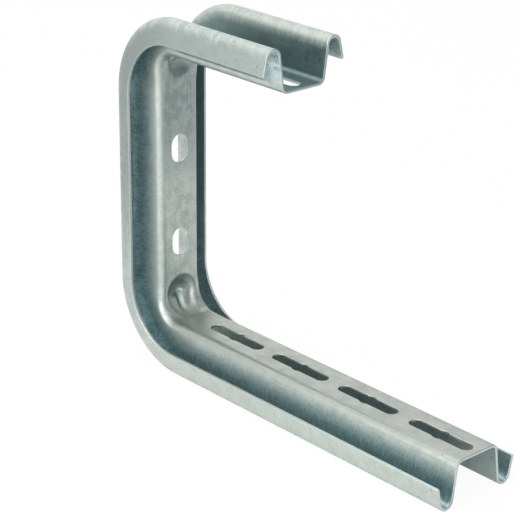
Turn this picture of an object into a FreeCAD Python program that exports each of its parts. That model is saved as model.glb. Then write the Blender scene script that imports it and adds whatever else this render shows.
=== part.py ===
import FreeCAD, Part
import Sketcher
import math
import os

# Cable tray bracket: one strip of galvanised sheet, rolled to a hat section whose two edges are
# turned back as hooks, then bent twice into a C. The lower arm carries the tray, the vertical
# goes against a wall, and the shorter upper arm hangs from a ceiling.
# X runs out along the arms, Y across the section and Z up. The bracket stands on its lower arm,
# with the origin under the middle of its overall length.

DIMENSIONS = [
    # overall sizes
    ("lowerArmLength", 245, "wall side to the tip of the lower arm"),
    ("upperArmLength", 120, "wall side to the tip of the upper arm"),
    ("bracketHeight", 200, "underside of the lower arm to the top of the upper arm"),
    # section
    ("sheetThickness", 1.5, "galvanised sheet"),
    ("sectionDepth", 24.5, "outside of the hooks to the face of the web"),
    ("webFlatWidth", 21, "flat part of the web between its rounded corners"),
    ("webCornerRadius", 4.2, "outside radius between web and wall"),
    ("insideFlat", 1.3, "setback of the flat inside each corner of the web"),
    ("wallLean", 8, "degrees that each wall leans outwards"),
    ("hookRadius", 3.35, "inside radius of the hook at the foot of each wall"),
    ("lipLean", 13, "degrees that each lip leans outwards"),
    ("lipHeight", 13.8, "outside of the hook to the free edge of the lip"),
    # the two bends, tight at the web and wide at the hooks
    ("webBendRadius", 10, "radius of the web's face"),
    ("hookBendRadius", 46.5, "radius of the outside of the hooks"),
    # slots of the two arms, each widened in the middle
    ("armSlotLength", 40, "end to end"),
    ("armSlotWidth", 7.3, "between the straight sides"),
    ("armSlotWidening", 9, "diameter of the widened middle"),
    ("armSlotPitch", 50, "centre to centre on the lower arm"),
    ("armSlotCount", 4, "slots in the lower arm"),
    ("armSlotTipDistance", 24, "tip of an arm to the centre of its last slot"),
    # slots of the vertical
    ("wallSlotWidth", 12, "across the web"),
    ("wallSlotHeight", 16, "end to end"),
    ("wallSlotSpacing", 54, "centre to centre"),
    ("wallSlotCount", 2, "slots in the vertical"),
    ("wallSlotLowest", 66, "height of the lowest slot's centre"),
    # dents that a ball presses into the web where it is bent
    ("dentRadius", 12.2, "ball, and so the face of a dent"),
    ("lowerDentFromWall", 6.7, "face of the vertical's web to the lower ball's centre"),
    ("lowerDentFromArm", 11.8, "face of the lower arm's web to the lower ball's centre"),
    ("upperDentFromWall", 9, "face of the vertical's web to the upper ball's centre"),
    ("upperDentFromArm", 7.8, "face of the upper arm's web to the upper ball's centre"),
    # two creases on the floor of each dent
    ("creaseSpacing", 6.6, "centre to centre"),
    ("creaseRadius", 0.8, "roundness of a crease"),
    ("creaseRise", 1.4, "floor of the dent to the top of a crease"),
    ("creaseLength", 9.4, "end to end, with both ends inside the sheet"),
    ("lowerCreaseTilt", 31, "degrees from upright to the creases of the lower dent"),
    ("upperCreaseTilt", 45, "degrees from upright to the creases of the upper dent"),
]

NODE_NAME = "tray_bracket"
SHEET_NAME = "Dimensions"
START, END, CENTRE = range(1, 4)
ORIGIN = (-1, 1)
EDGE_SAMPLES = 5
TOLERANCE = 0.001
HORIZONTAL_AXIS, VERTICAL_AXIS = range(-1, -3, -1)

value = {name: number for name, number, note in DIMENSIONS}

doc = FreeCAD.newDocument("TrayBracket")
sheet = doc.addObject("Spreadsheet::Sheet", SHEET_NAME)
for row, (name, number, note) in enumerate(DIMENSIONS, start=1):
    sheet.set(f"A{row}", name)
    sheet.set(f"B{row}", str(number))
    sheet.set(f"C{row}", note)
    sheet.setAlias(f"B{row}", name)
doc.recompute()

body = doc.addObject("PartDesign::Body", "Bracket")
body.Label = NODE_NAME


def bind(feature, path, expression):
    """Drive a property by an expression in which $name is a cell of the sheet."""
    feature.setExpression(path, expression.replace("$", SHEET_NAME + "."))


def originFeature(role):
    """Plane or axis of the body's own origin."""
    return next(feature for feature in body.Origin.OriginFeatures if feature.Role == role)


def newSketch(name, planeRole, offset="0"):
    """Sketch on a plane of the origin, moved along the plane's normal by an expression."""
    sketch = body.newObject("Sketcher::SketchObject", name)
    sketch.AttachmentSupport = (originFeature(planeRole), [""])
    sketch.MapMode = "FlatFace"
    bind(sketch, ".AttachmentOffset.Base.z", offset)
    return sketch


def point(x, y):
    return FreeCAD.Vector(x, y, 0)


def polar(centre, radius, angle):
    """Point at a distance and an angle in degrees from a centre."""
    turn = math.radians(angle)
    return centre + point(radius * math.cos(turn), radius * math.sin(turn))


def line(sketch, start, end):
    return sketch.addGeometry(Part.LineSegment(start, end), False)


def arc(sketch, centre, radius, startAngle, endAngle):
    """Arc drawn counter-clockwise, with its angles in degrees."""
    circle = Part.Circle(centre, FreeCAD.Vector(0, 0, 1), radius)
    return sketch.addGeometry(
        Part.ArcOfCircle(circle, math.radians(startAngle), math.radians(endAngle)), False)


def constrain(sketch, kind, *where):
    sketch.addConstraint(Sketcher.Constraint(kind, *where))


def measured(sketch, kind, where):
    """Size that the drawn geometry has, which is a dimension's first value."""
    if kind == "Radius":
        return sketch.Geometry[where[0]].Radius
    if kind == "Angle":
        edge = sketch.Geometry[where[0]]
        run = edge.EndPoint - edge.StartPoint
        return math.atan2(run.y, run.x)
    run = sketch.getPoint(*where[2:]) - sketch.getPoint(*where[:2])
    return run.x if kind == "DistanceX" else run.y


def dimension(sketch, kind, expression, *where):
    """Dimension of a sketch, driven by the sheet."""
    first = measured(sketch, kind, where)
    index = sketch.addConstraint(Sketcher.Constraint(kind, *where, first))
    bind(sketch, f"Constraints[{index}]", expression)


def sideSection():
    """Section at the lower tip through one wall with its hook and lip.

    The wall is one sheet thickness too tall, and is cut back to the web's face later.
    """
    sketch = newSketch("SideSection", "YZ_Plane", "$lowerArmLength")
    thickness = value["sheetThickness"]
    depth = value["sectionDepth"]
    cornerRadius = value["webCornerRadius"]
    hookRadius = value["hookRadius"]
    lean = value["wallLean"]
    lipLean = value["lipLean"]
    fall = math.cos(math.radians(lean))
    # the hook's centre lies on the far side of the wall, one hook radius off its outer face
    corner = point(value["webFlatWidth"] / 2, depth - cornerRadius)
    across = polar(corner, cornerRadius + hookRadius, lean)
    hook = polar(across, (across.y - hookRadius - thickness) / fall, lean - 90)
    outerFoot = polar(hook, hookRadius, 180 + lean)
    innerFoot = polar(hook, hookRadius + thickness, 180 + lean)
    top = depth + thickness
    outerTop = polar(outerFoot, (top - outerFoot.y) / fall, 90 + lean)
    innerTop = polar(innerFoot, (top - innerFoot.y) / fall, 90 + lean)
    lipFoot = polar(hook, hookRadius, -lipLean)
    lipRise = (value["lipHeight"] - lipFoot.y) / math.cos(math.radians(lipLean))
    lipEdge = polar(lipFoot, lipRise, 90 - lipLean)

    outerWall = line(sketch, outerTop, outerFoot)
    groove = arc(sketch, hook, hookRadius, 180 + lean, 360 - lipLean)
    innerLip = line(sketch, lipFoot, lipEdge)
    edge = line(sketch, lipEdge, polar(lipEdge, thickness, -lipLean))
    outerLip = line(sketch, polar(lipEdge, thickness, -lipLean),
                    polar(hook, hookRadius + thickness, -lipLean))
    hookBack = arc(sketch, hook, hookRadius + thickness, 180 + lean, 360 - lipLean)
    innerWall = line(sketch, innerFoot, innerTop)
    wallTop = line(sketch, innerTop, outerTop)
    # round corner between web and wall, which places the wall
    roundCorner = sketch.addGeometry(
        Part.Circle(corner, FreeCAD.Vector(0, 0, 1), cornerRadius), True)

    constrain(sketch, "Tangent", outerWall, roundCorner)
    constrain(sketch, "Tangent", outerWall, END, groove, START)
    constrain(sketch, "Tangent", groove, END, innerLip, START)
    constrain(sketch, "Coincident", innerLip, END, edge, START)
    constrain(sketch, "Coincident", edge, END, outerLip, START)
    constrain(sketch, "Tangent", outerLip, END, hookBack, END)
    constrain(sketch, "Tangent", hookBack, START, innerWall, START)
    constrain(sketch, "Coincident", innerWall, END, wallTop, START)
    constrain(sketch, "Coincident", wallTop, END, outerWall, START)
    constrain(sketch, "Coincident", groove, CENTRE, hookBack, CENTRE)
    constrain(sketch, "Horizontal", wallTop)
    constrain(sketch, "Perpendicular", innerLip, edge)
    constrain(sketch, "Parallel", outerWall, innerWall)
    constrain(sketch, "Parallel", innerLip, outerLip)
    dimension(sketch, "Radius", "$webCornerRadius", roundCorner)
    dimension(sketch, "DistanceX", "$webFlatWidth / 2", *ORIGIN, roundCorner, CENTRE)
    dimension(sketch, "DistanceY", "$sectionDepth - $webCornerRadius",
              *ORIGIN, roundCorner, CENTRE)
    dimension(sketch, "Radius", "$hookRadius", groove)
    dimension(sketch, "Radius", "$hookRadius + $sheetThickness", hookBack)
    dimension(sketch, "DistanceY", "$hookRadius + $sheetThickness", *ORIGIN, groove, CENTRE)
    dimension(sketch, "DistanceY", "$sectionDepth + $sheetThickness", *ORIGIN, outerWall, START)
    dimension(sketch, "DistanceY", "$lipHeight", *ORIGIN, innerLip, END)
    dimension(sketch, "Angle", "($wallLean - 90) * 1 deg", outerWall)
    dimension(sketch, "Angle", "(90 - $lipLean) * 1 deg", innerLip)
    return sketch


def roundC(sketch, inset, centre, lowerEnd, upperEnd):
    """C-shaped line at an inset from the outside of the hooks, from its lower to its upper end.

    Both bends have their centre at the same distance from the outside.
    """
    radius = centre - inset
    height = value["bracketHeight"]
    lowerArm = line(sketch, point(lowerEnd, inset), point(centre, inset))
    lowerBend = arc(sketch, point(centre, centre), radius, 180, 270)
    upright = line(sketch, point(inset, centre), point(inset, height - centre))
    upperBend = arc(sketch, point(centre, height - centre), radius, 90, 180)
    upperArm = line(sketch, point(centre, height - inset), point(upperEnd, height - inset))

    constrain(sketch, "Tangent", lowerArm, END, lowerBend, END)
    constrain(sketch, "Tangent", lowerBend, START, upright, START)
    constrain(sketch, "Tangent", upright, END, upperBend, END)
    constrain(sketch, "Tangent", upperBend, START, upperArm, START)
    constrain(sketch, "Horizontal", lowerArm)
    constrain(sketch, "Vertical", upright)
    constrain(sketch, "Horizontal", upperArm)
    constrain(sketch, "Equal", lowerBend, upperBend)
    return lowerArm, lowerBend, upright, upperArm


def bendPath():
    """Line along the outside of the hooks, from the lower tip to the upper tip."""
    sketch = newSketch("BendPath", "XZ_Plane")
    lowerArm, lowerBend, upright, upperArm = roundC(
        sketch, 0, value["hookBendRadius"], value["lowerArmLength"], value["upperArmLength"])
    constrain(sketch, "PointOnObject", lowerArm, START, HORIZONTAL_AXIS)
    constrain(sketch, "PointOnObject", upright, START, VERTICAL_AXIS)
    dimension(sketch, "Radius", "$hookBendRadius", lowerBend)
    dimension(sketch, "DistanceX", "$lowerArmLength", *ORIGIN, lowerArm, START)
    dimension(sketch, "DistanceX", "$upperArmLength", *ORIGIN, upperArm, END)
    dimension(sketch, "DistanceY", "$bracketHeight", *ORIGIN, upperArm, END)
    return sketch


def webLine(sketch, share, lowerEnd, upperEnd):
    """C-shaped line along the web, at a share of the sheet's thickness below its face."""
    inset = value["sectionDepth"] - share * value["sheetThickness"]
    centre = value["sectionDepth"] + value["webBendRadius"]
    lowerArm, lowerBend, upright, upperArm = roundC(sketch, inset, centre, lowerEnd, upperEnd)
    level = f"$sectionDepth - {share} * $sheetThickness"
    dimension(sketch, "Radius", f"$webBendRadius + {share} * $sheetThickness", lowerBend)
    dimension(sketch, "DistanceX", level, *ORIGIN, upright, START)
    dimension(sketch, "DistanceY", level, *ORIGIN, lowerArm, START)
    dimension(sketch, "DistanceY", f"$bracketHeight - ({level})", *ORIGIN, upperArm, END)
    return lowerArm, upperArm


def webProfile():
    """Side view of the web: one sheet thick, from tip to tip."""
    sketch = newSketch("WebProfile", "XZ_Plane")
    lowerTip = value["lowerArmLength"]
    upperTip = value["upperArmLength"]
    lowerFace, upperFace = webLine(sketch, 0, lowerTip, upperTip)
    lowerBack, upperBack = webLine(sketch, 1, lowerTip, upperTip)
    ends = []
    for face, back, where in ((lowerFace, lowerBack, START), (upperFace, upperBack, END)):
        end = line(sketch, sketch.getPoint(face, where), sketch.getPoint(back, where))
        constrain(sketch, "Coincident", face, where, end, START)
        constrain(sketch, "Coincident", back, where, end, END)
        constrain(sketch, "Vertical", end)
        ends.append(end)
    dimension(sketch, "DistanceX", "$lowerArmLength", *ORIGIN, ends[0], START)
    dimension(sketch, "DistanceX", "$upperArmLength", *ORIGIN, ends[1], START)
    return sketch


def insideOfC(name, share):
    """Outline of all that lies inside the C, down to a share of the sheet below the web's face."""
    sketch = newSketch(name, "XZ_Plane")
    free = value["lowerArmLength"] + value["sectionDepth"]
    lowerArm, upperArm = webLine(sketch, share, free, free)
    side = line(sketch, sketch.getPoint(upperArm, END), sketch.getPoint(lowerArm, START))
    constrain(sketch, "Coincident", upperArm, END, side, START)
    constrain(sketch, "Coincident", side, END, lowerArm, START)
    constrain(sketch, "Vertical", side)
    dimension(sketch, "DistanceX", "$lowerArmLength + $sectionDepth", *ORIGIN, lowerArm, START)
    return sketch


def webSheet():
    """The web, wide enough to end inside both walls, which lean apart in the bends."""
    pad = body.newObject("PartDesign::Pad", "WebSheet")
    pad.Profile = webProfile()
    pad.Type = "Length"
    pad.SideType = "Symmetric"
    bind(pad, "Length", "$webFlatWidth + 2 * $webCornerRadius - $sheetThickness")
    doc.recompute()


def sides():
    """Walls with hooks and lips, swept round the wide bends and cut back to the web's face."""
    pipe = body.newObject("PartDesign::AdditivePipe", "NearSide")
    pipe.Profile = sideSection()
    pipe.Spine = (bendPath(), [])
    doc.recompute()
    mirror = body.newObject("PartDesign::Mirrored", "BothSides")
    mirror.Originals = [pipe]
    mirror.MirrorPlane = (originFeature("XZ_Plane"), [""])
    body.Tip = mirror
    doc.recompute()
    pocket("WallTopCut", insideOfC("WallTops", 0), "4 * $sectionDepth", isMiddle=True)


def belowFace(place):
    """How far a point lies below the web's face."""
    centre = value["sectionDepth"] + value["webBendRadius"]
    height = min(place.z, value["bracketHeight"] - place.z)
    if place.x < centre and height < centre:
        return math.hypot(centre - place.x, centre - height) - value["webBendRadius"]
    return value["sectionDepth"] - (height if place.x > height else place.x)


def cornerEdges(below):
    """Names of the edges that run along the web between it and the walls, so far below its face."""
    names = []
    for number, edge in enumerate(body.Tip.Shape.Edges, start=1):
        places = edge.discretize(EDGE_SAMPLES)
        run = places[-1] - places[0]
        isLevel = all(abs(belowFace(place) - below) < TOLERANCE for place in places)
        isOutside = all(abs(place.y) > value["webFlatWidth"] / 2 for place in places)
        if isLevel and isOutside and abs(run.y) < run.Length / 2:
            names.append(f"Edge{number}")
    return names


def dressCorners(kind, name, below, path, size):
    """Fillet or chamfer along the edges between web and walls."""
    edges = (body.Tip, cornerEdges(below))
    dressUp = body.newObject(f"PartDesign::{kind}", name)
    dressUp.Base = edges
    bind(dressUp, path, size)
    doc.recompute()


# for each bend: the first part of its dimensions' names, the height of a point that is so far
# from the outside of its arm, and the turn in degrees from upright to the creases of its dent
CORNERS = {
    "Lower": {"name": "$lower", "height": "{level}", "turn": "-$lowerCreaseTilt"},
    "Upper": {"name": "$upper", "height": "$bracketHeight - ({level})", "turn": "180 + $upperCreaseTilt"},
}


def ballPoint(corner, below="0", along="0"):
    """Expressions for X and Z of a point that is so far below the centre of a dent's ball.

    Below is square to the creases, towards the corner of the C, and along is towards the arm.
    """
    name = CORNERS[corner]["name"]
    tilt = f"{name}CreaseTilt * 1 deg"
    out = (f"$sectionDepth + {name}DentFromWall - ({below}) * cos({tilt})"
           f" + ({along}) * sin({tilt})")
    level = (f"$sectionDepth + {name}DentFromArm - ({below}) * sin({tilt})"
             f" - ({along}) * cos({tilt})")
    return out, CORNERS[corner]["height"].format(level=level)


def primitive(kind, name, planeRole, place):
    """Primitive on a plane of the origin, moved by three expressions in the plane's own axes."""
    solid = body.newObject(f"PartDesign::{kind}", name)
    solid.AttachmentSupport = (originFeature(planeRole), [""])
    solid.MapMode = "FlatFace"
    for axis, expression in zip("xyz", place):
        bind(solid, f".AttachmentOffset.Base.{axis}", expression)
    return solid


def dentBall(kind, name, corner, radius):
    """Ball of a dent, whose poles are across the web so that they stay clear of it."""
    out, height = ballPoint(corner)
    ball = primitive(kind, corner + name, "XZ_Plane", (out, height, "0"))
    bind(ball, "Radius", radius)
    doc.recompute()


def dentBacks():
    """What the dents push out behind the web, made before the web that swallows its rim."""
    for corner in CORNERS:
        dentBall("AdditiveSphere", "DentBack", corner, "$dentRadius + $sheetThickness")
    pocket("DentTrimCut", insideOfC("DentTrim", 0.5), "4 * $dentRadius", isMiddle=True)


def dent(corner):
    """Hollow of a dent, with two rounded creases that run along the strip on its floor."""
    dentBall("SubtractiveSphere", "Dent", corner, "$dentRadius")
    out, height = ballPoint(corner, "$dentRadius - $creaseRise + $creaseRadius",
                            along="$creaseLength / 2")
    for side, across in (("Near", "-$creaseSpacing / 2"), ("Far", "$creaseSpacing / 2")):
        name = f"{corner}Crease{side}"
        crease = primitive("AdditiveCylinder", name, "XY_Plane", (out, across, height))
        crease.AttachmentOffset.Rotation = FreeCAD.Rotation(FreeCAD.Vector(0, 1, 0), 1)
        bind(crease, ".AttachmentOffset.Rotation.Angle", f"({CORNERS[corner]['turn']}) * 1 deg")
        bind(crease, "Radius", "$creaseRadius")
        bind(crease, "Height", "$creaseLength")
        doc.recompute()


def pocket(name, sketch, length="2 * $sheetThickness", isReversed=False, isMiddle=False):
    """Cut of a sketch's outline, which has to take material away."""
    before = body.Tip.Shape.Volume
    cut = body.newObject("PartDesign::Pocket", name)
    cut.Profile = sketch
    cut.Type = "Length"
    cut.Reversed = isReversed
    cut.SideType = "Symmetric" if isMiddle else "One side"
    bind(cut, "Length", length)
    doc.recompute()
    if cut.Shape.Volume >= before:
        raise RuntimeError(f"{name} cuts nothing")
    return cut


def pattern(name, cut, axisRole, count, spacing, isReversed=False):
    """Row of equal cuts along an axis of the origin."""
    row = body.newObject("PartDesign::LinearPattern", name)
    row.Originals = [cut]
    row.Direction = (originFeature(axisRole), [""])
    row.Reversed = isReversed
    row.Mode = "Spacing"
    bind(row, "Occurrences", count)
    bind(row, "Offset", spacing)
    body.Tip = row
    doc.recompute()


def widenedSlot(name, level, armLength):
    """Long slot at the tip of an arm: straight sides, round ends and a wider round middle."""
    sketch = newSketch(name, "XY_Plane", level)
    end = value["armSlotWidth"] / 2
    bulge = value["armSlotWidening"] / 2
    run = value["armSlotLength"] / 2 - end
    centre = point(value[armLength] - value["armSlotTipDistance"], 0)
    left = centre - point(run, 0)
    right = centre + point(run, 0)
    corner = math.degrees(math.asin(end / bulge))
    bottomLeft = polar(centre, bulge, 180 + corner)
    bottomRight = polar(centre, bulge, -corner)
    topRight = polar(centre, bulge, corner)
    topLeft = polar(centre, bulge, 180 - corner)

    lowerLeft = line(sketch, polar(left, end, -90), bottomLeft)
    lowerBulge = arc(sketch, centre, bulge, 180 + corner, 360 - corner)
    lowerRight = line(sketch, bottomRight, polar(right, end, -90))
    rightEnd = arc(sketch, right, end, -90, 90)
    upperRight = line(sketch, polar(right, end, 90), topRight)
    upperBulge = arc(sketch, centre, bulge, corner, 180 - corner)
    upperLeft = line(sketch, topLeft, polar(left, end, 90))
    leftEnd = arc(sketch, left, end, 90, 270)

    for edge in (lowerLeft, lowerRight, upperRight, upperLeft):
        constrain(sketch, "Horizontal", edge)
    constrain(sketch, "Tangent", leftEnd, END, lowerLeft, START)
    constrain(sketch, "Coincident", lowerLeft, END, lowerBulge, START)
    constrain(sketch, "Coincident", lowerBulge, END, lowerRight, START)
    constrain(sketch, "Tangent", lowerRight, END, rightEnd, START)
    constrain(sketch, "Tangent", rightEnd, END, upperRight, START)
    constrain(sketch, "Coincident", upperRight, END, upperBulge, START)
    constrain(sketch, "Coincident", upperBulge, END, upperLeft, START)
    constrain(sketch, "Tangent", upperLeft, END, leftEnd, START)
    constrain(sketch, "Coincident", lowerBulge, CENTRE, upperBulge, CENTRE)
    constrain(sketch, "PointOnObject", upperBulge, CENTRE, HORIZONTAL_AXIS)
    constrain(sketch, "PointOnObject", rightEnd, CENTRE, HORIZONTAL_AXIS)
    constrain(sketch, "Symmetric", leftEnd, CENTRE, rightEnd, CENTRE, upperBulge, CENTRE)
    constrain(sketch, "Equal", lowerBulge, upperBulge)
    constrain(sketch, "Equal", leftEnd, rightEnd)
    dimension(sketch, "Radius", "$armSlotWidth / 2", rightEnd)
    dimension(sketch, "Radius", "$armSlotWidening / 2", upperBulge)
    dimension(sketch, "DistanceX", "$armSlotLength - $armSlotWidth",
              leftEnd, CENTRE, rightEnd, CENTRE)
    dimension(sketch, "DistanceX", f"${armLength} - $armSlotTipDistance",
              *ORIGIN, upperBulge, CENTRE)
    return sketch


def wallSlot():
    """Upright slot with round ends in the vertical."""
    sketch = newSketch("WallSlot", "YZ_Plane", "$sectionDepth")
    end = value["wallSlotWidth"] / 2
    run = value["wallSlotHeight"] / 2 - end
    middle = point(0, value["wallSlotLowest"])
    top = middle + point(0, run)
    bottom = middle - point(0, run)
    topEnd = arc(sketch, top, end, 0, 180)
    leftSide = line(sketch, polar(top, end, 180), polar(bottom, end, 180))
    bottomEnd = arc(sketch, bottom, end, 180, 360)
    rightSide = line(sketch, polar(bottom, end, 0), polar(top, end, 0))

    constrain(sketch, "Tangent", topEnd, END, leftSide, START)
    constrain(sketch, "Tangent", leftSide, END, bottomEnd, START)
    constrain(sketch, "Tangent", bottomEnd, END, rightSide, START)
    constrain(sketch, "Tangent", rightSide, END, topEnd, START)
    constrain(sketch, "Vertical", leftSide)
    constrain(sketch, "PointOnObject", topEnd, CENTRE, VERTICAL_AXIS)
    constrain(sketch, "PointOnObject", bottomEnd, CENTRE, VERTICAL_AXIS)
    dimension(sketch, "Radius", "$wallSlotWidth / 2", topEnd)
    dimension(sketch, "DistanceY", "$wallSlotHeight - $wallSlotWidth",
              bottomEnd, CENTRE, topEnd, CENTRE)
    dimension(sketch, "DistanceY", "$wallSlotLowest - ($wallSlotHeight - $wallSlotWidth) / 2",
              *ORIGIN, bottomEnd, CENTRE)
    return sketch


def checkDocument():
    """Stop before anything is written if a feature failed or a sketch is left loose."""
    for item in doc.Objects:
        if "Invalid" in item.State or "Error" in item.State:
            raise RuntimeError(f"{item.Name} failed")
        if item.TypeId == "Sketcher::SketchObject" and not item.FullyConstrained:
            raise RuntimeError(f"{item.Name} is not fully constrained")
    if body.Shape.isNull() or not body.Shape.isValid() or len(body.Shape.Solids) != 1:
        raise RuntimeError("the bracket is not one valid solid")


dentBacks()
webSheet()
sides()
dressCorners("Fillet", "RoundCorners", 0, "Radius", "$webCornerRadius")
# a flat takes the place of the round inside each corner, which would cost many more facets
dressCorners("Chamfer", "InsideFlats", value["sheetThickness"], "Size", "$insideFlat")
for corner in CORNERS:
    dent(corner)

lowerSlot = pocket("LowerArmSlotCut", widenedSlot("LowerArmSlot", "$sectionDepth",
                                                  "lowerArmLength"))
pattern("LowerArmSlots", lowerSlot, "X_Axis", "$armSlotCount", "$armSlotPitch", isReversed=True)
pocket("UpperArmSlotCut", widenedSlot("UpperArmSlot", "$bracketHeight - $sectionDepth",
                                      "upperArmLength"), isReversed=True)
firstWallSlot = pocket("WallSlotCut", wallSlot())
pattern("WallSlots", firstWallSlot, "Z_Axis", "$wallSlotCount", "$wallSlotSpacing")

bind(body, ".Placement.Base.x", "-$lowerArmLength / 2")
doc.recompute()
checkDocument()

os.makedirs("parts", exist_ok=True)
body.Shape.exportStep(f"parts/{NODE_NAME}.step")
box = body.Shape.optimalBoundingBox(True, False)
print(f"{NODE_NAME}: {box.XLength:.1f} x {box.YLength:.1f} x {box.ZLength:.1f} mm,",
      f"volume {body.Shape.Volume:.0f} mm3")
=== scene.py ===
import math

import bmesh
import bpy
import numpy as np
from mathutils import Matrix, Vector


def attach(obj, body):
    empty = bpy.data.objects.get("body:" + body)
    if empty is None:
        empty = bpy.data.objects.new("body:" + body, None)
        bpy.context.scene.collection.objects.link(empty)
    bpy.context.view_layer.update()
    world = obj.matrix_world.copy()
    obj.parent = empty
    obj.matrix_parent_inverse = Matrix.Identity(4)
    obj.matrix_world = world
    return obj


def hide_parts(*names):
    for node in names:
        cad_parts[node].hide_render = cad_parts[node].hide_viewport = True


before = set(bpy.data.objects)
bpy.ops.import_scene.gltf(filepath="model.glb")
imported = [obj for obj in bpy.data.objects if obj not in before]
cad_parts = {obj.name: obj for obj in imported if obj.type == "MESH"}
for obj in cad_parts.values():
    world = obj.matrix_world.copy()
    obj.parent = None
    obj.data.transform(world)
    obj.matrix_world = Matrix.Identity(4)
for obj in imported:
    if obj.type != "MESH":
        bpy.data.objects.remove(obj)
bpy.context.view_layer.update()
print("frame loaded")

# Galvanised cable tray bracket: one rolled strip with hooked edges, bent twice into a C.
# The strip is worked out in millimetres on three numbers a point: how far it lies along the
# strip from the lower tip, how far across from the middle of the web, and how far through the
# sheet from its middle. layStrip() puts such points in the frame, in metres.

bracket = {
    "lowerArm": 245.0,
    "upperArm": 120.0,
    "height": 200.0,
    "sheet": 1.5,
    "depth": 24.5,
    "webHalf": 10.5,
    "cornerRadius": 4.2,
    "wallLean": 8.0,
    "hookRadius": 3.35,
    "lipLean": 13.0,
    "lipHeight": 13.8,
    "webBend": 10.0,        # radius of the web's face in the bends
    "hookBend": 46.5,       # radius of the outside of the hooks in the bends
    "edgeRound": 0.3,       # roundness of every cut edge
    "support": 0.12,        # loop that keeps a flat face flat up to its rounded edge
}

halfThickness = bracket["sheet"] / 2
hookBend = bracket["hookBend"]
quarterTurn = math.pi / 2


# The section: straight runs and arcs of half the section from the middle of the web to the
# lip's edge. Each is (length, start y, start depth, start heading, turn per mm). A run goes on
# along its heading, and an arc by the sine and cosine of its headings over its turn.
def sectionPieces():
    lean = math.radians(bracket["wallLean"])
    lipLean = math.radians(bracket["lipLean"])
    cornerMid = bracket["cornerRadius"] - halfThickness
    hookMid = bracket["hookRadius"] + halfThickness
    pieces = []
    at = [0.0, bracket["depth"] - halfThickness, 0.0]

    def add(length, turn):
        y, depth, heading = at
        pieces.append((length, y, depth, heading, turn))
        if turn == 0:
            at[:] = y + length * math.cos(heading), depth + length * math.sin(heading), heading
        else:
            end = heading + turn * length
            at[:] = (y + (math.sin(end) - math.sin(heading)) / turn,
                     depth - (math.cos(end) - math.cos(heading)) / turn, end)

    add(bracket["webHalf"], 0)
    add(cornerMid * (quarterTurn - lean), -1 / cornerMid)
    wallFoot = hookMid + halfThickness - hookMid * math.sin(lean)
    add((at[1] - wallFoot) / math.cos(lean), 0)
    add(hookMid * (math.pi - lean - lipLean), 1 / hookMid)
    rise = bracket["lipHeight"] - at[1] - halfThickness * math.sin(lipLean)
    add(rise / math.cos(lipLean), 0)
    return pieces


section = sectionPieces()
sectionEnds = np.cumsum([piece[0] for piece in section])
halfWidth = sectionEnds[-1]


# Section point: y and depth follow the run or arc that the distance across falls on, and the
# normal is the heading turned a quarter, towards the inside of the C. Both halves are alike.
def sectionAt(across):
    distance = np.abs(across)
    side = np.where(across < 0, -1.0, 1.0)
    y = np.zeros_like(distance)
    depth = np.zeros_like(distance)
    heading = np.zeros_like(distance)
    which = np.minimum(np.searchsorted(sectionEnds, distance, side="left"), len(section) - 1)
    for number, (length, startY, startDepth, startHeading, turn) in enumerate(section):
        mine = which == number
        run = distance[mine] - (sectionEnds[number] - length)
        if turn == 0:
            y[mine] = startY + run * math.cos(startHeading)
            depth[mine] = startDepth + run * math.sin(startHeading)
            heading[mine] = startHeading
        else:
            end = startHeading + turn * run
            y[mine] = startY + (np.sin(end) - math.sin(startHeading)) / turn
            depth[mine] = startDepth - (np.cos(end) - math.cos(startHeading)) / turn
            heading[mine] = end
    return side * y, depth, side * -np.sin(heading), np.cos(heading)


# How much of a point goes with the web: all of it on the web and its corners, then less and
# less down the wall in proportion to the distance, and nothing on hook and lip
def webShare(across):
    wallTop, wallFoot = sectionEnds[1], sectionEnds[2]
    return np.clip((wallFoot - np.abs(across)) / (wallFoot - wallTop), 0, 1)


# The legs of the strip: lower arm, lower bend, vertical, upper bend and upper arm. A bend is
# as long as the web's face in it, which is a quarter circle between two short flats.
webRadial = hookBend - bracket["depth"]
flatInBend = webRadial - bracket["webBend"]
bendLength = 2 * flatInBend + bracket["webBend"] * quarterTurn
legLengths = [bracket["lowerArm"] - hookBend, bendLength, bracket["height"] - 2 * hookBend,
              bendLength, bracket["upperArm"] - hookBend]
legEnds = np.cumsum(legLengths)
stripLength = legEnds[-1]


# from 0 to 1 without a kink at either end: three squares less two cubes
def smoothStep(share):
    share = np.clip(share, 0, 1)
    return share * share * (3 - 2 * share)


# soft maximum of the value and 0: the width times the logarithm of one more than e to the
# power of the value over the width
def softAbove(value, width):
    return width * np.log1p(np.exp(np.clip(value / width, -40, 60)))


dents = {
    "radius": 12.2,         # ball that presses a dent
    "lower": (6.7, 11.8),   # its centre from the web's faces of the vertical and of the arm
    "upper": (9.0, 7.8),
    "least": 1.0,           # height of the ball's centre over a face that it still presses
    "rim": 0.35,            # softness of the rim
    "fade": 1.2,            # width beyond the web's flat in which a dent runs out
    "ridgeMiddle": 3.8,     # from the mid-plane
    "ridgeHalf": 2.8,
    "ridgeBlunt": 2.6,      # the larger, the flatter a ridge's top and the steeper its sides
    "ridgeDepth": 1.8,      # of a ridge's top below the bend's surface
    "ridgeRim": 0.4,        # softness of its foot
    "ridgeEnd": (36.8, 31.0),   # how far from the arm's outside a ridge reaches, lower, upper
    "ridgeFade": 1.2,       # half the length in which it runs out there
    "ridgeLag": 3.4,        # how much shorter the lower dent's ridge at -y is
}


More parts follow.
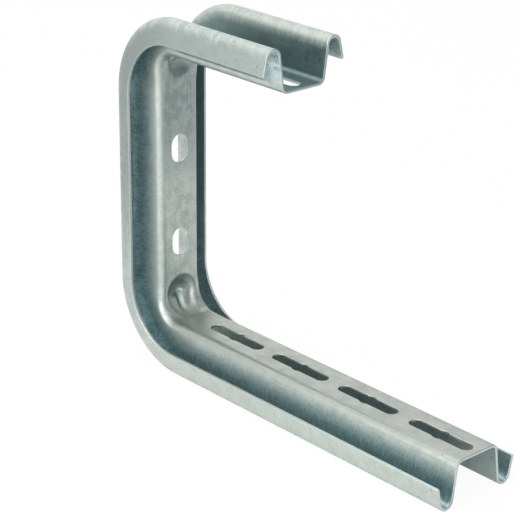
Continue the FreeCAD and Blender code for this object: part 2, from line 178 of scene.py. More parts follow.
# How far a dent's ball presses the web's face in: a point inside the ball goes along the
# normal to the ball's surface. The depth inside goes through a soft maximum, which rounds the
# rim. Two blunt ridges stand on the floor: e to minus the distance from a ridge's middle line,
# in ridge halves, to the power ridgeBlunt. They are cut short by a smooth step.
def dentPress(out, up, y, normalOut, normalUp, isUpper):
    radius = dents["radius"]
    lower, upper = dents["lower"], dents["upper"]
    ballOut = bracket["depth"] + np.where(isUpper, upper[0], lower[0])
    ballUp = bracket["depth"] + np.where(isUpper, upper[1], lower[1])
    fromOut, fromUp = out - ballOut, up - ballUp
    along = fromOut * normalOut + fromUp * normalUp
    inside = (radius ** 2 - fromOut ** 2 - fromUp ** 2 - y ** 2) / (2 * radius)
    pressed = along + np.sqrt(along ** 2 + 2 * radius * softAbove(inside, dents["rim"]))

    off = np.abs(np.abs(y) - dents["ridgeMiddle"]) / dents["ridgeHalf"]
    end = np.where(isUpper, dents["ridgeEnd"][1],
                   dents["ridgeEnd"][0] - dents["ridgeLag"] * (y < 0))
    fade = dents["ridgeFade"]
    length = 1 - smoothStep((up - end + fade) / (2 * fade))
    over = softAbove(pressed - dents["ridgeDepth"], dents["ridgeRim"])
    ridge = over * np.exp(-off ** dents["ridgeBlunt"]) * length
    return np.where(along < -dents["least"], pressed - ridge, 0.0)


# the vertical's web is a little narrower and shallower than the arms'
pinch = {
    "narrow": 0.9,          # a side
    "shallow": 1.0,
    "start": 0.375,         # share of a bend after which it begins
}


# Points of the strip in the frame. Each corner of the C has its own two directions, out from
# the outside of the vertical and up from the outside of the arm. A point hangs from an anchor,
# in a bend the axis of the hooks' bend: hooks and lips at a distance that follows from their
# depth, and the web on its own tighter bend, where the anchor's ray meets it. Walls go from
# one to the other, so that they keep their lean.
def layStrip(along, across, through):
    leg = np.minimum(np.searchsorted(legEnds, along, side="left"), 4)
    run = along - np.concatenate([[0.0], legEnds[:-1]])[leg]
    isBend = (leg == 1) | (leg == 3)
    isUpper = (leg > 2) | ((leg == 2) & (run > legLengths[2] / 2))
    turn = np.where(isBend, run / bendLength, 0) * quarterTurn
    none, one = np.zeros_like(run), np.ones_like(run)
    outward = np.choose(leg, [none, np.sin(turn), one, np.cos(turn), none])
    upward = np.choose(leg, [one, np.cos(turn), none, np.sin(turn), one])
    level = np.where(isUpper, bracket["height"] - hookBend - run, hookBend + run)
    anchorOut = np.choose(leg, [bracket["lowerArm"] - run, hookBend * one, hookBend * one,
                                hookBend * one, hookBend + run])
    anchorUp = np.where(leg == 2, level, hookBend)

    # distance from the anchor to the web's face, and the face's normal towards the inside
    steepOut, steepUp = np.maximum(outward, 1e-6), np.maximum(upward, 1e-6)
    onVertical = isBend & (webRadial * upward / steepOut < flatInBend)
    onArm = isBend & (webRadial * outward / steepUp < flatInBend)
    onArc = isBend & ~onVertical & ~onArm
    towards = flatInBend * (outward + upward)
    chord = np.maximum(towards ** 2 - 2 * flatInBend ** 2 + bracket["webBend"] ** 2, 0)
    places = [onVertical, onArm, onArc]
    reach = np.select(places, [webRadial / steepOut, webRadial / steepUp,
                               towards + np.sqrt(chord)], webRadial)
    arcOut = (outward * reach - flatInBend) / bracket["webBend"]
    arcUp = (upward * reach - flatInBend) / bracket["webBend"]
    normalOut = np.select(places, [one, none, arcOut], outward)
    normalUp = np.select(places, [none, one, arcUp], upward)

    y, depth, sideways, inwards = sectionAt(across)
    y = y + through * sideways
    depth = depth + through * inwards
    side = np.sign(across)
    share = webShare(across)
    spread = np.minimum(np.abs(across) / bracket["webHalf"], 1) * share
    y = y + side * spread * (reach - webRadial) * math.tan(math.radians(bracket["wallLean"]))

    # the pinch grows towards the vertical by a smooth step of the share of the bend
    bent = np.choose(leg, [none, turn, quarterTurn * one, quarterTurn - turn, none])
    pinched = smoothStep((bent / quarterTurn - pinch["start"]) / (1 - pinch["start"]))
    y = y - side * spread * pinched * pinch["narrow"]
    faceOut = anchorOut - outward * reach - normalOut * pinched * pinch["shallow"]
    faceUp = anchorUp - upward * reach - normalUp * pinched * pinch["shallow"]

    pressed = dentPress(faceOut, faceUp, y, normalOut, normalUp, isUpper)
    beyondFlat = np.abs(across) - bracket["webHalf"]
    pressed = pressed * np.clip((dents["fade"] - beyondFlat) / dents["fade"], 0, 1)
    below = bracket["depth"] - depth + pressed
    webOut, webUp = faceOut - normalOut * below, faceUp - normalUp * below
    hookOut = anchorOut - outward * (hookBend - depth)
    hookUp = anchorUp - upward * (hookBend - depth)
    out = webOut * share + hookOut * (1 - share)
    up = webUp * share + hookUp * (1 - share)
    z = np.where(isUpper, bracket["height"] - up, up)
    return np.stack([out - bracket["lowerArm"] / 2, y, z], axis=1) / 1000, pressed


slots = {
    "armLength": 40.0,
    "armWidth": 7.3,
    "armMiddle": 9.0,       # width of the round middle
    "armPitch": 50.0,
    "armCount": 4,
    "armTip": 24.0,         # from the tip to the middle of the first slot
    "wallWidth": 12.0,
    "wallHeight": 16.0,
    "wallSpacing": 54.0,
    "wallLowest": 66.0,
    "margin": 2.2,          # cell of the mesh beyond the end of a slot
}

# Fineness of the mesh: numbers of faces, and longest faces along the strip in millimetres
fineness = {
    "section": (8, 8, 6, 14, 4),    # web, corner, wall, hook and lip of one half
    "flat": 1.8,
    "beforeBend": 1.4,
    "bend": 0.68,
    "pastBend": 3.0,        # how far the lower bend's short faces go on up the vertical
    "upperTip": 1.5,
    "armSlot": 36,          # along the cell of an arm's slot
    "wallSlot": 20,         # the same on the vertical
    "wallSide": 4,          # on the straight side of such a slot
    "slotEnd": 6,           # in an eighth turn of an arm slot's end, and in a straight run
    "slotRings": 6,         # between a cell's border and the slot's rim
    "slotEase": 1.35,       # over 1 draws those rings towards the rim
    "edge": 3,              # round a cut edge
    "bendAcross": 3,        # times as many across the web in the bends
}


# Distances across the strip for one face, from lip to lip, and the web's first and last
# column: each run or arc of the section is parted evenly
def acrossSamples():
    parts = []
    start = 0.0
    for end, count in zip(sectionEnds, fineness["section"]):
        parts.append(np.linspace(start, end, count + 1)[1:])
        start = end
    half = np.concatenate(parts)[:-1]
    edge = halfWidth - bracket["edgeRound"]
    half = half[half < edge - 1]        # the lip's last millimetre has its own two columns
    half = np.concatenate([half, [edge - bracket["support"], edge]])
    samples = np.concatenate([-half[::-1], [0.0], half])
    first = int(np.argmin(np.abs(samples + bracket["webHalf"])))
    last = int(np.argmin(np.abs(samples - bracket["webHalf"])))
    return samples, first, last


# Stations along the strip, evenly spaced between its marks, the first and last station of
# each cell that holds a slot, and those of each bend
def alongSamples():
    stations = [bracket["edgeRound"], bracket["edgeRound"] + bracket["support"]]
    cells = []
    armHalf = slots["armLength"] / 2 + slots["margin"]
    wallHalf = slots["wallHeight"] / 2 + slots["margin"]

    def runTo(end, step):
        start = stations[-1]
        count = max(1, round((end - start) / step))
        stations.extend(np.linspace(start, end, count + 1)[1:])

    def cell(centre, half, kind):
        runTo(centre - half, fineness["flat"])
        first = len(stations) - 1
        count = fineness[kind]
        stations.extend(np.linspace(centre - half, centre + half, count + 1)[1:])
        cells.append({"first": first, "last": first + count, "centre": centre, "kind": kind})

    for number in range(slots["armCount"]):
        cell(slots["armTip"] + number * slots["armPitch"], armHalf, "armSlot")
    runTo(legEnds[0], fineness["beforeBend"])
    bendStarts = [len(stations) - 1]
    runTo(legEnds[1] + fineness["pastBend"], fineness["bend"])
    bendEnds = [len(stations) - 1]
    for number in range(2):
        height = slots["wallLowest"] + number * slots["wallSpacing"]
        cell(legEnds[1] + height - hookBend, wallHalf, "wallSlot")
    runTo(legEnds[2], fineness["flat"])
    bendStarts.append(len(stations) - 1)
    runTo(legEnds[3], fineness["bend"])
    bendEnds.append(len(stations) - 1)
    cell(stripLength - slots["armTip"], armHalf, "armSlot")
    last = stripLength - bracket["edgeRound"]
    runTo(last - bracket["support"], fineness["upperTip"])
    stations.append(last)
    return np.array(stations), cells, list(zip(bendStarts, bendEnds))


# Outline of a slot about its centre, as points along and across: round ends, straight sides
# and, on the arms, a round bulge in the middle. It goes from the middle of one quarter of an
# end round the whole outline, and its second half is the first turned by half a circle.
def slotOutline(kind, longCount, endCount):
    if kind == "armSlot":
        width, bulge, length = slots["armWidth"], slots["armMiddle"] / 2, slots["armLength"]
    else:
        width, bulge, length = slots["wallWidth"], 0.0, slots["wallHeight"]
    end = width / 2
    centre = length / 2 - end
    eighthTurn = quarterTurn / 2

    def arc(middle, radius, start, stop, count):
        angles = np.linspace(start, stop, count + 1)[:-1]
        return np.stack([middle + radius * np.cos(angles), radius * np.sin(angles)], axis=1)

    def run(start, stop, offset, count):
        reached = np.linspace(start, stop, count + 1)[:-1]
        return np.stack([reached, np.full_like(reached, offset)], axis=1)

    # one long side, from the left end's lower quarter to the right end's
    if bulge:
        cut = math.asin(end / bulge)
        notch = bulge * math.cos(cut)
        few = fineness["slotEnd"]
        side = [arc(-centre, end, math.pi + eighthTurn, 3 * quarterTurn, few),
                run(-centre, -notch, -end, few),
                arc(0, bulge, math.pi + cut, 2 * math.pi - cut, longCount - 4 * few),
                run(notch, centre, -end, few),
                arc(centre, end, 3 * quarterTurn, 2 * math.pi - eighthTurn, few)]
    else:
        few = (longCount - fineness["wallSide"]) // 2
        side = [arc(-centre, end, math.pi + eighthTurn, 3 * quarterTurn, few),
                run(-centre, centre, -end, longCount - 2 * few),
                arc(centre, end, 3 * quarterTurn, 2 * math.pi - eighthTurn, few)]
    roundEnd = arc(centre, end, -eighthTurn, eighthTurn, endCount)
    oneSide = np.concatenate(side + [roundEnd])
    return np.concatenate([oneSide, -oneSide])


# Rounded cut edge, a quarter circle from the face to the cut: how far a ring lies in from the
# cut, and how far it is from mid-sheet
def cutRings():
    radius = bracket["edgeRound"]
    angles = np.linspace(0, quarterTurn, fineness["edge"] + 1)
    inset = radius * (1 - np.sin(angles))
    level = halfThickness - radius + radius * np.cos(angles)
    return inset, level


# faces between neighbours of a grid of point numbers
def gridFaces(ids):
    return np.stack([ids[:-1, :-1], ids[:-1, 1:], ids[1:, 1:], ids[1:, :-1]],
                    axis=-1).reshape(-1, 4)


# The whole strip: a grid of rings along by a loop round the sheet, in which the slots' cells
# and the web of the bends are left open and get points of their own. All of them are numbered
# as along, across and through, and layStrip() puts them in place at once.
def buildBracket():
    samples, webFirst, webLast = acrossSamples()
    stations, cells, bends = alongSamples()
    inset, level = cutRings()

    # loop round the sheet: lip edge, face from lip to lip, other lip edge, and the same behind
    edgeAcross = halfWidth - inset
    front = np.concatenate([-edgeAcross[:0:-1], samples, edgeAcross[1:]])
    flatLevel = np.full(len(samples), halfThickness)
    frontLevel = np.concatenate([level[:0:-1], flatLevel, level[1:]])
    loopAcross = np.concatenate([front, front[::-1]])
    loopLevel = np.concatenate([frontLevel, -frontLevel[::-1]])
    halfCount, loopCount = len(front), len(loopAcross)
    webFirst += len(inset) - 1
    webLast += len(inset) - 1

    # rings along the strip: rounded tips first and last, which draw in at the lips too
    tipInset = inset[:0:-1]                     # 0 at the cut
    tipScale = level[:0:-1] / halfThickness
    firstStation = len(tipInset)
    along = np.concatenate([tipInset, stations, stripLength - tipInset[::-1]])
    scale = np.concatenate([tipScale, np.ones(len(stations)), tipScale[::-1]])
    ringCount = len(along)
    drawn = np.repeat(halfThickness * (1 - scale), loopCount)
    points = [np.stack([np.repeat(along, loopCount),
                        np.tile(loopAcross, ringCount) * (1 - drawn / halfWidth),
                        np.tile(loopLevel, ringCount) * np.repeat(scale, loopCount)], axis=1)]
    total = len(points[0])

    def index(ring, column):
        return ring * loopCount + column

    # faces of the grid, apart from the web where a slot or a bend has its own mesh
    cellSpans = [(cell["first"] + firstStation, cell["last"] + firstStation) for cell in cells]
    bendSpans = [(first + firstStation, last + firstStation) for first, last in bends]
    isKept = np.ones((ringCount - 1, loopCount), bool)
    for first, last in cellSpans + [(first - 1, last + 1) for first, last in bendSpans]:
        isKept[first:last, webFirst:webLast] = False
        isKept[first:last, loopCount - 1 - webLast:loopCount - 1 - webFirst] = False
    ring, column = np.nonzero(isKept)
    nextColumn = (column + 1) % loopCount
    faces = [np.stack([index(ring, column), index(ring, nextColumn),
                       index(ring + 1, nextColumn), index(ring + 1, column)], axis=1)]

    # end caps: each point of the face is joined to its partner behind
    column = np.arange(halfCount - 1)
    for capRing in (0, ringCount - 1):
        faces.append(np.stack([index(capRing, column), index(capRing, column + 1),
                               index(capRing, loopCount - 2 - column),
                               index(capRing, loopCount - 1 - column)], axis=1))

    # cells with a slot: layers of points from the cell's border in over the face, round the
    # cut edge and out again behind. Each goes round like the outline. Over the face it is a
    # mean of the border and of the outline pushed out along its normal.
    webFront = np.arange(webFirst, webLast + 1)
    webBack = loopCount - 1 - webFront
    for cell, (first, last) in zip(cells, cellSpans):
        centre = np.array([cell["centre"], 0.0])
        outline = slotOutline(cell["kind"], last - first, webLast - webFirst)
        tangent = np.roll(outline, -1, axis=0) - np.roll(outline, 1, axis=0)
        normal = np.stack([tangent[:, 1], -tangent[:, 0]], axis=1)
        normal /= np.linalg.norm(normal, axis=1)[:, None]
        rings = np.arange(first, last + 1)
        borders = [np.concatenate([index(rings[:-1], web[0]), index(last, web[:-1]),
                                   index(rings[:0:-1], web[-1]), index(first, web[:0:-1])])
                   for web in (webFront, webBack)]
        border = points[0][borders[0], :2] - centre
        rim = outline + normal * (bracket["edgeRound"] + bracket["support"])
        face = []
        for share in np.linspace(0, 1, fineness["slotRings"] + 1)[1:]:
            ease = 1 - (1 - share) ** fineness["slotEase"]
            face.append(border * (1 - ease) + rim * ease)
        edge = [outline + normal * inward for inward in inset]
        face.append(edge[0])
        layers = face + edge[1:] + edge[::-1] + face[-2::-1]
        heights = np.concatenate([np.full(len(face), halfThickness), level[1:], -level[::-1],
                                  np.full(len(face) - 1, -halfThickness)])
        count = len(outline)
        points.append(np.column_stack([np.concatenate(layers) + centre,
                                       np.repeat(heights, count)]))
        ids = total + np.arange(len(layers) * count).reshape(-1, count)
        total += ids.size
        ids = np.vstack([borders[0], ids, borders[1]])
        faces.append(gridFaces(np.hstack([ids, ids[:, :1]])))

    # bends: the web has more faces across, and a row of six-sided ones at each end takes it up
    seams = []
    fine = fineness["bendAcross"]
    width = (len(webFront) - 1) * fine + 1
    place = np.arange(width)
    isNew = place % fine > 0
    for first, last in bendSpans:
        rings = np.arange(first, last + 1)
        for web, through in ((webFront, halfThickness), (webBack, -halfThickness)):
            acrossFine = np.interp(place, place[::fine], loopAcross[web])
            count = isNew.sum() * len(rings)
            ids = np.zeros((len(rings), width), int)
            ids[:, ~isNew] = index(rings[:, None], web)
            ids[:, isNew] = total + np.arange(count).reshape(len(rings), -1)
            total += count
            points.append(np.stack([np.repeat(along[rings], isNew.sum()),
                                    np.tile(acrossFine[isNew], len(rings)),
                                    np.full(count, through)], axis=1))
            faces.append(gridFaces(ids))
            for row, outerRing in ((ids[0], first - 1), (ids[-1], last + 1)):
                inner = row[place[:-1:fine, None] + np.arange(fine + 1)]
                outer = index(outerRing, np.stack([web[1:], web[:-1]], axis=1))
                seams.append(np.hstack([inner, outer]))

    # points of the grid that those meshes took the place of are left out
    strip, quads, seams = np.concatenate(points), np.concatenate(faces), np.concatenate(seams)
    isUsed = np.zeros(len(strip), bool)
    isUsed[quads] = True
    isUsed[seams] = True
    strip = strip[isUsed]
    newNumber = np.cumsum(isUsed) - 1
    quads, seams = newNumber[quads], newNumber[seams]
    places, pressed = layStrip(strip[:, 0], strip[:, 1], strip[:, 2])

    mesh = bpy.data.meshes.new("foldedStrip")
    mesh.from_pydata(places.tolist(), [], quads.tolist() + seams.tolist())
    attribute = mesh.attributes.new("strip", "FLOAT_VECTOR", "POINT")
    attribute.data.foreach_set("vector", (strip / 100).astype(np.float32).ravel())
    attribute = mesh.attributes.new("pressed", "FLOAT", "POINT")
    attribute.data.foreach_set("value", pressed.astype(np.float32))
    work = bmesh.new()
    work.from_mesh(mesh)
    bmesh.ops.recalc_face_normals(work, faces=work.faces)
    openEdges = sum(1 for edge in work.edges if not edge.is_manifold)
    work.to_mesh(mesh)
    work.free()
    mesh.shade_smooth()
    print("strip:", len(mesh.vertices), "points,", len(mesh.polygons), "faces,",
          openEdges, "open edges")
    piece = bpy.data.objects.new("foldedStrip", mesh)
    bpy.context.scene.collection.objects.link(piece)
    return piece


foldedStrip = buildBracket()


# a node, with its settings by keyword and its inputs by name or number
def addNode(tree, kind, inputs=None, **options):
    node = tree.nodes.new("ShaderNode" + kind)
    for name, option in options.items():
        setattr(node, name, option)
    for name, source in (inputs or {}).items():
        if isinstance(source, bpy.types.NodeSocket):
            tree.links.new(source, node.inputs[name])
        else:
            node.inputs[name].default_value = source
    return node


# one step of arithmetic on numbers or sockets
def calculate(tree, operation, first, second=0.0):
    return addNode(tree, "Math", {0: first, 1: second}, operation=operation).outputs[0]


# all factors multiplied: as masks, the place that they share
def product(tree, first, *others):
    for other in others:
        first = calculate(tree, "MULTIPLY", first, other)
    return first


# sum of the sockets, each times its weight
def weighed(tree, pairs):
    total = 0.0
    for source, weight in pairs:
        total = addNode(tree, "Math", {0: source, 1: weight, 2: total},
                        operation="MULTIPLY_ADD").outputs[0]
    return total


# low up to the start, high from the end, and a smooth step between them
def ramp(tree, source, start, end, low=0.0, high=1.0):
    sockets = {"Value": source, "From Min": start, "From Max": end,
               "To Min": low, "To Max": high}
    node = addNode(tree, "MapRange", sockets, interpolation_type="SMOOTHSTEP")
    return node.outputs["Result"]


# each part of the vector times the same part of the scale
def scaled(tree, vector, scale):
    return addNode(tree, "VectorMath", {0: vector, 1: scale}, operation="MULTIPLY").outputs[0]


# cloudy noise from 0 to 1, the finer the larger its scale
def noise(tree, vector, scale, detail, roughness=0.5):
    sockets = {"Vector": vector, "Scale": scale, "Detail": detail, "Roughness": roughness}
    return addNode(tree, "TexNoise", sockets).outputs["Fac"]


# the first colour, with the second over it by the share
def blend(tree, share, first, second):
    return addNode(tree, "Mix", {0: share, 6: first, 7: second}, data_type="RGBA").outputs[2]


coat = {
    "cloud": (150, 4, 0.6),             # scale, detail and roughness of a noise
    "grain": (1100, 2),
    "speck": (620, 1),
    "streak": ((5, 75, 20), 3, 0.6),    # here a scale along, across and through the strip
    "draw": ((90, 22, 20), 3, 0.65),
    "rubSheen": ((34, 6, 6), 4, 0.65),
    "rubSheenAbove": (0.45, 0.70),
    "speckedAbove": (0.70, 0.76),
    "hook": (0.28, 0.32),               # across, in units of 100 mm
    "hookEnd": (0.42, 0.46, 1, 0),
}


# Zinc coat: clouds of a few millimetres, fine grain, streaks that run along the strip, short
# draw marks across it, rubbed bands across the hooks, which also paint the highlight on them,
# and sparse dark specks. Each is a noise, even or stretched on the strip, and the last two are
# what stands above a level of theirs.
def zincCoat():
    tree = bpy.data.node_groups.new("zincCoat", "ShaderNodeTree")
    for name in ("Place", "Strip"):
        tree.interface.new_socket(name, in_out="INPUT", socket_type="NodeSocketVector")
    for name in ("Cloud", "Grain", "Streak", "Draw", "RubSheen", "Speck"):
        tree.interface.new_socket(name, in_out="OUTPUT", socket_type="NodeSocketFloat")
    source = tree.nodes.new("NodeGroupInput")
    target = tree.nodes.new("NodeGroupOutput")
    place, strip = source.outputs["Place"], source.outputs["Strip"]

    def even(name):
        return noise(tree, place, *coat[name])

    def stretched(name):
        stretch, detail, roughness = coat[name]
        return noise(tree, scaled(tree, strip, stretch), 1.0, detail, roughness)

    across = addNode(tree, "SeparateXYZ", {0: strip}).outputs["Y"]
    distance = calculate(tree, "ABSOLUTE", across)
    outcome = {
        "Cloud": even("cloud"),
        "Grain": even("grain"),
        "Streak": stretched("streak"),
        "Draw": stretched("draw"),
        # rubbed bands across the hooks, which also paint the highlight on them
        "RubSheen": product(tree, ramp(tree, stretched("rubSheen"), *coat["rubSheenAbove"]),
                       ramp(tree, distance, *coat["hook"]),
                       ramp(tree, distance, *coat["hookEnd"])),
        "Speck": ramp(tree, even("speck"), *coat["speckedAbove"]),
    }
    for name, socket in outcome.items():
        tree.links.new(socket, target.inputs[name])
    return tree


zinc = {
    "light": (0.53, 0.575, 0.525, 1),
    "dark": (0.37, 0.435, 0.42, 1),
    "pale": (0.66, 0.70, 0.64, 1),      # painted light: the lower arm's lips paler
    "armWebShade": (0.40, 0.42, 0.375, 1),     # painted shade: the lower arm's web darker, and a little warmer
    "shadeLight": (0.64, 0.79, 0.82, 1),    # painted shade in the grooves, bluer
    "shadeDark": (0.28, 0.40, 0.43, 1),
    "gapShade": (0.10, 0.15, 0.15, 1),      # painted shade in the tightest gaps
    "inner": (0.11, 0.20, 0.21, 1),     # painted shade inside the arms' channels
    "channelShadeAtTip": (0.50, 0.61, 0.61, 1),  # the same painted shade, lighter at the open lower tip where light gets in
    "dentShade": (0.16, 0.23, 0.23, 1),    # painted shade on the floor of the dents
    "dimReflection": (0.25, 0.31, 0.305, 1),     # painted dark reflection on the vertical's web and lips, growing upwards
    "cut": (0.64, 0.68, 0.65, 1),       # sheared edges and rubbed hooks, brighter, partly painted highlight
    "speck": (0.16, 0.22, 0.22, 1),
    "roughness": (0.50, 0.34),          # of the dark and of the light tone
    "bump": {"Strength": 0.25, "Distance": 0.0002},
}

# how much of each mark goes into a mixture
mixtures = {
    "tone": {"Cloud": 0.9, "Grain": 0.7, "Streak": 0.3},
    "dimPattern": {"Streak": 0.3, "Cloud": 0.7},
    "drawn": {"Tone": 0.4, "Draw": 0.8},
    "height": {"Cloud": 1.0, "Grain": 0.4},
}

# the levels of a mixture, or millimetres pressed in, between which a ramp goes up
levels = {
    "tone": (0.65, 1.25),
    "dimPattern": (0.38, 0.58, 0.15, 1),
    "drawn": (0.35, 0.85),
    "pressed": (1.6, 4.0, 0, 0.75),
}

# how much of its place each tone covers
cover = {
    "pale": 0.38,
    "armWebShade": 0.6,
    "inner": 0.75,
    "groove": 0.9,
    "armGroove": 0.2,       # painted gap shade in the grooves of the lower arm
    "speck": 0.6,
    "cut": 0.4,
    "rubbedSheen": 0.6,
}

# Where the tones lie, for ramps: start, end, and the values there if they aren't 0 and 1.
# Those across the strip go by the distance from the web's middle, and those along it by the
# distance from the lower tip, both in units of 100 mm.
zonesAcross = {
    "webGap": (0.095, 0.115),
    "webGapEnd": (0.122, 0.132, 1, 0),
    "webDimReflection": (0.10, 0.15, 1, 0),
    "web": (0.12, 0.17, 1, 0),
    "groove": (0.155, 0.26),
    "grooveEnd": (0.44, 0.49, 1, 0.6),
    "lipGap": (0.158, 0.172),
    "lipGapEnd": (0.30, 0.40, 1, 0),
    "channel": (0.28, 0.34, 1, 0),
    "lip": (0.38, 0.46),
}
zonesAlong = {
    "channelShadeAtTip": (0.05, 0.45),
    "lowerArm": (1.95, 2.35, 1, 0),
    "lipDimReflection": (2.25, 3.00, 0, 0.8),
    "webDimReflection": (2.85, 3.30),
    "lipDimReflectionEnd": (3.45, 3.85, 1, 0.4),
    "upperArm": (3.68, 3.84),
    "webGap": (3.85, 4.15, 0.9, 0.35),
    "lipGap": (4.38, 4.55, 1, 0),
    "fromMiddle": (0.5, 0.65),      # both ways from the vertical's middle
}
verticalMiddle = 2.9        # along the strip
cutMargin = 0.0004          # how far under the sheet's faces a cut begins, in those units


# Galvanised sheet: the coat's clouds, grain and streaks go between its light and its dark
# tone. Over it lie painted shade, bluer in the grooves and darker and bluer in the channel,
# the gaps and the dents' floors, a painted dark reflection growing up the vertical, painted
# light that makes the lower arm's lips paler, and painted shade that darkens its web. The
# sheared edges and rubbed hooks are brighter, partly as painted highlight. Where a tone lies
# is a product of ramps along and across the strip.
def galvanisedSheet():
    metal = bpy.data.materials.new("galvanisedSheet")
    metal.use_nodes = True
    tree = metal.node_tree
    shader = tree.nodes["Principled BSDF"]
    strip = addNode(tree, "Attribute", attribute_name="strip").outputs["Vector"]
    pressed = addNode(tree, "Attribute", attribute_name="pressed").outputs["Fac"]
    place = addNode(tree, "TexCoord").outputs["Object"]
    group = addNode(tree, "Group", {"Place": place, "Strip": strip}, node_tree=zincCoat())
    marks = {socket.name: socket for socket in group.outputs}
    parts = addNode(tree, "SeparateXYZ", {0: strip}).outputs
    distance = calculate(tree, "ABSOLUTE", parts["Y"])
    through = calculate(tree, "ABSOLUTE", parts["Z"])

    def across(name):
        return ramp(tree, distance, *zonesAcross[name])

    def along(name):
        return ramp(tree, parts["X"], *zonesAlong[name])

    def mixed(name):
        return weighed(tree, [(marks[mark], part) for mark, part in mixtures[name].items()])

    # the front faces the inside of the C and has the grooves, the back lines the channel
    isFront = calculate(tree, "GREATER_THAN", parts["Z"], 0.0)
    isBack = calculate(tree, "SUBTRACT", 1.0, isFront)
    isCut = calculate(tree, "LESS_THAN", through, halfThickness / 100 - cutMargin)
    onLowerArm, onLip = along("lowerArm"), across("lip")
    groove = product(tree, across("groove"), across("grooveEnd"), isFront)
    fromMiddle = calculate(tree, "SUBTRACT", parts["X"], verticalMiddle)
    fromMiddle = calculate(tree, "ABSOLUTE", fromMiddle)
    onArms = ramp(tree, fromMiddle, *zonesAlong["fromMiddle"])
    # where the painted shade inside the arms' channels lies
    inner = product(tree, onArms, isBack, across("channel"))

    # painted dark reflection on the vertical, growing upwards: on its lips, and on its web in
    # patches
    dimPatches = ramp(tree, mixed("dimPattern"), *levels["dimPattern"])
    webDimReflection = product(tree, along("webDimReflection"), dimPatches, across("webDimReflection"), isFront)
    lipDimReflection = product(tree, along("lipDimReflection"), along("lipDimReflectionEnd"), onLip)

    # painted shade in the gaps of the upper arm: beside the web's corners and behind the lips
    webGap = product(tree, across("webGap"), across("webGapEnd"), along("webGap"))
    lipGap = product(tree, across("lipGap"), across("lipGapEnd"), along("lipGap"))
    gap = product(tree, along("upperArm"), isFront, calculate(tree, "MAXIMUM", lipGap, webGap))

    # tones from the plain one up, each over those before it
    marks["Tone"] = ramp(tree, mixed("tone"), *levels["tone"])
    colour = blend(tree, marks["Tone"], zinc["dark"], zinc["light"])

    def laid(share, amount, over):
        return blend(tree, product(tree, share, amount), colour, over)

    # painted light: the lower arm's lips paler
    colour = laid(product(tree, onLowerArm, onLip), cover["pale"], zinc["pale"])
    # painted shade: the lower arm's web darker, and a little warmer
    colour = laid(product(tree, onLowerArm, across("web")), cover["armWebShade"], zinc["armWebShade"])
    # painted shade inside the arms' channels, lighter towards the open lower tip
    channelShadeTone = blend(tree, along("channelShadeAtTip"), zinc["channelShadeAtTip"], zinc["inner"])
    colour = laid(inner, cover["inner"], channelShadeTone)
    # painted shade in the grooves, bluer, varied by the draw marks
    drawn = ramp(tree, mixed("drawn"), *levels["drawn"])
    shade = blend(tree, drawn, zinc["shadeDark"], zinc["shadeLight"])
    colour = laid(groove, cover["groove"], shade)
    # painted shade, darkest, in the upper arm's gaps and a little in the lower arm's grooves
    darker = product(tree, groove, onLowerArm, cover["armGroove"])
    colour = laid(calculate(tree, "MAXIMUM", gap, darker), 1.0, zinc["gapShade"])
    # painted shade on the floor of the dents, the deeper the darker
    colour = laid(ramp(tree, pressed, *levels["pressed"]), 1.0, zinc["dentShade"])
    # painted dark reflection on the vertical, growing upwards
    colour = laid(calculate(tree, "MAXIMUM", lipDimReflection, webDimReflection), 1.0, zinc["dimReflection"])
    colour = laid(marks["Speck"], cover["speck"], zinc["speck"])
    # sheared edges and rubbed hooks brighter, partly real and partly painted highlight
    bright = calculate(tree, "MAXIMUM", product(tree, isCut, cover["cut"]),
                       product(tree, marks["RubSheen"], cover["rubbedSheen"]))
    colour = laid(bright, 1.0, zinc["cut"])

    roughness = ramp(tree, marks["Tone"], 0, 1, *zinc["roughness"])
    bump = addNode(tree, "Bump", {**zinc["bump"], "Height": mixed("height")})
    tree.links.new(colour, shader.inputs["Base Color"])
    tree.links.new(roughness, shader.inputs["Roughness"])
    tree.links.new(bump.outputs["Normal"], shader.inputs["Normal"])
    shader.inputs["Metallic"].default_value = 1.0
    return metal


foldedStrip.data.materials.append(galvanisedSheet())
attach(foldedStrip, "root")
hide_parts("tray_bracket")
print("bracket built")

view = {
    "place": (0.6461, -0.6142, 0.4514),
    "azimuth": 48.27,
    "elevation": 21.92,
    "roll": 0.36,
    "lens": 131.957,
    "sensor": 36,
    "shift": (0.0169, -0.0217),
}


# Camera at its place: its back points out along azimuth and elevation, its right lies level,
# and the roll turns right and up about the back by its cosine and sine
def aimCamera():
    azimuth, elevation, roll = (math.radians(view[name])
                                for name in ("azimuth", "elevation", "roll"))
    back = Vector((math.sin(azimuth) * math.cos(elevation),
                   -math.cos(azimuth) * math.cos(elevation), math.sin(elevation)))
    level = Vector((math.cos(azimuth), math.sin(azimuth), 0))
    right = level * math.cos(roll) + back.cross(level) * math.sin(roll)
    data = bpy.data.cameras.new("photoCamera")
    data.sensor_width = view["sensor"]
    data.lens = view["lens"]
    data.shift_x, data.shift_y = view["shift"]
    camera = bpy.data.objects.new("photoCamera", data)
    turn = Matrix((right, back.cross(right), back)).transposed().to_4x4()
    camera.matrix_world = Matrix.Translation(view["place"]) @ turn
    bpy.context.scene.collection.objects.link(camera)
    bpy.context.scene.camera = camera


aimCamera()

studio = {
    "world": 0.55,
    "floor": 0.90,
    "whiteSeen": 0.94,      # share of plain white that the camera sees on the floor
    "whiteInMetal": 0.15,   # the same in a reflection, which keeps more of the shadow
    "floorHalf": 6.0,
    "floorLevel": -0.0003,
    "lampAim": (0, 0, 0.1),
}

# each lamp: place, size across and up, power in watts
lamps = {
    "overhead": ((0.02, -0.18, 0.66), (0.8, 0.8), 2.6),
    "leftSoft": ((-0.95, 0.22, 0.74), (2.4, 1.2), 6.2),
    "frontStrip": ((0.15, -0.95, 0.36), (1.7, 0.70), 9.0),
}


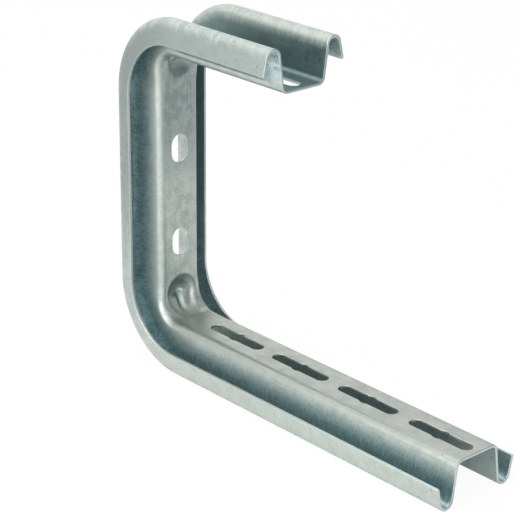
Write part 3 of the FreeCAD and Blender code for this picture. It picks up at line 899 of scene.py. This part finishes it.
# Share of plain white by the kind of ray: whiteSeen for the camera's own and through glass,
# whiteInMetal for a mirrored one, and none for scattered light
def whiteShare(tree):
    path = addNode(tree, "LightPath").outputs
    direct = calculate(tree, "MAXIMUM", path["Is Camera Ray"], path["Is Transmission Ray"])
    return calculate(tree, "MAXIMUM", product(tree, direct, studio["whiteSeen"]),
                     product(tree, path["Is Glossy Ray"], studio["whiteInMetal"]))


# World, floor and lamps: the floor is a mix of a dull pale surface, which takes the shadow,
# and of plain white by whiteShare, and each lamp is turned towards the same point
def buildStudio():
    world = bpy.data.worlds.new("studio")
    world.use_nodes = True
    bpy.context.scene.world = world
    background = world.node_tree.nodes["Background"]
    background.inputs["Color"].default_value = (1, 1, 1, 1)
    background.inputs["Strength"].default_value = studio["world"]

    half, level = studio["floorHalf"], studio["floorLevel"]
    mesh = bpy.data.meshes.new("floor")
    corners = [(-half, -half, level), (half, -half, level),
               (half, half, level), (-half, half, level)]
    mesh.from_pydata(corners, [], [(0, 1, 2, 3)])
    floor = bpy.data.objects.new("floor", mesh)
    bpy.context.scene.collection.objects.link(floor)
    pale = bpy.data.materials.new("paleFloor")
    pale.use_nodes = True
    tree = pale.node_tree
    shader = tree.nodes["Principled BSDF"]
    shader.inputs["Base Color"].default_value = (studio["floor"],) * 3 + (1,)
    shader.inputs["Roughness"].default_value = 1.0
    white = addNode(tree, "Emission", {"Color": (1, 1, 1, 1), "Strength": 1.0})
    mix = addNode(tree, "MixShader", {0: whiteShare(tree), 1: shader.outputs[0],
                                      2: white.outputs[0]})
    tree.links.new(mix.outputs[0], tree.nodes["Material Output"].inputs["Surface"])
    mesh.materials.append(pale)

    for name, (place, size, power) in lamps.items():
        data = bpy.data.lights.new(name, "AREA")
        data.shape = "RECTANGLE"
        data.size, data.size_y = size
        data.energy = power
        lamp = bpy.data.objects.new(name, data)
        towards = Vector(studio["lampAim"]) - Vector(place)
        lamp.rotation_euler = towards.to_track_quat("-Z", "Y").to_euler()
        lamp.location = place
        bpy.context.scene.collection.objects.link(lamp)


buildStudio()
print("studio built")
bpy.context.scene.view_settings.view_transform = "Standard"

print("done")
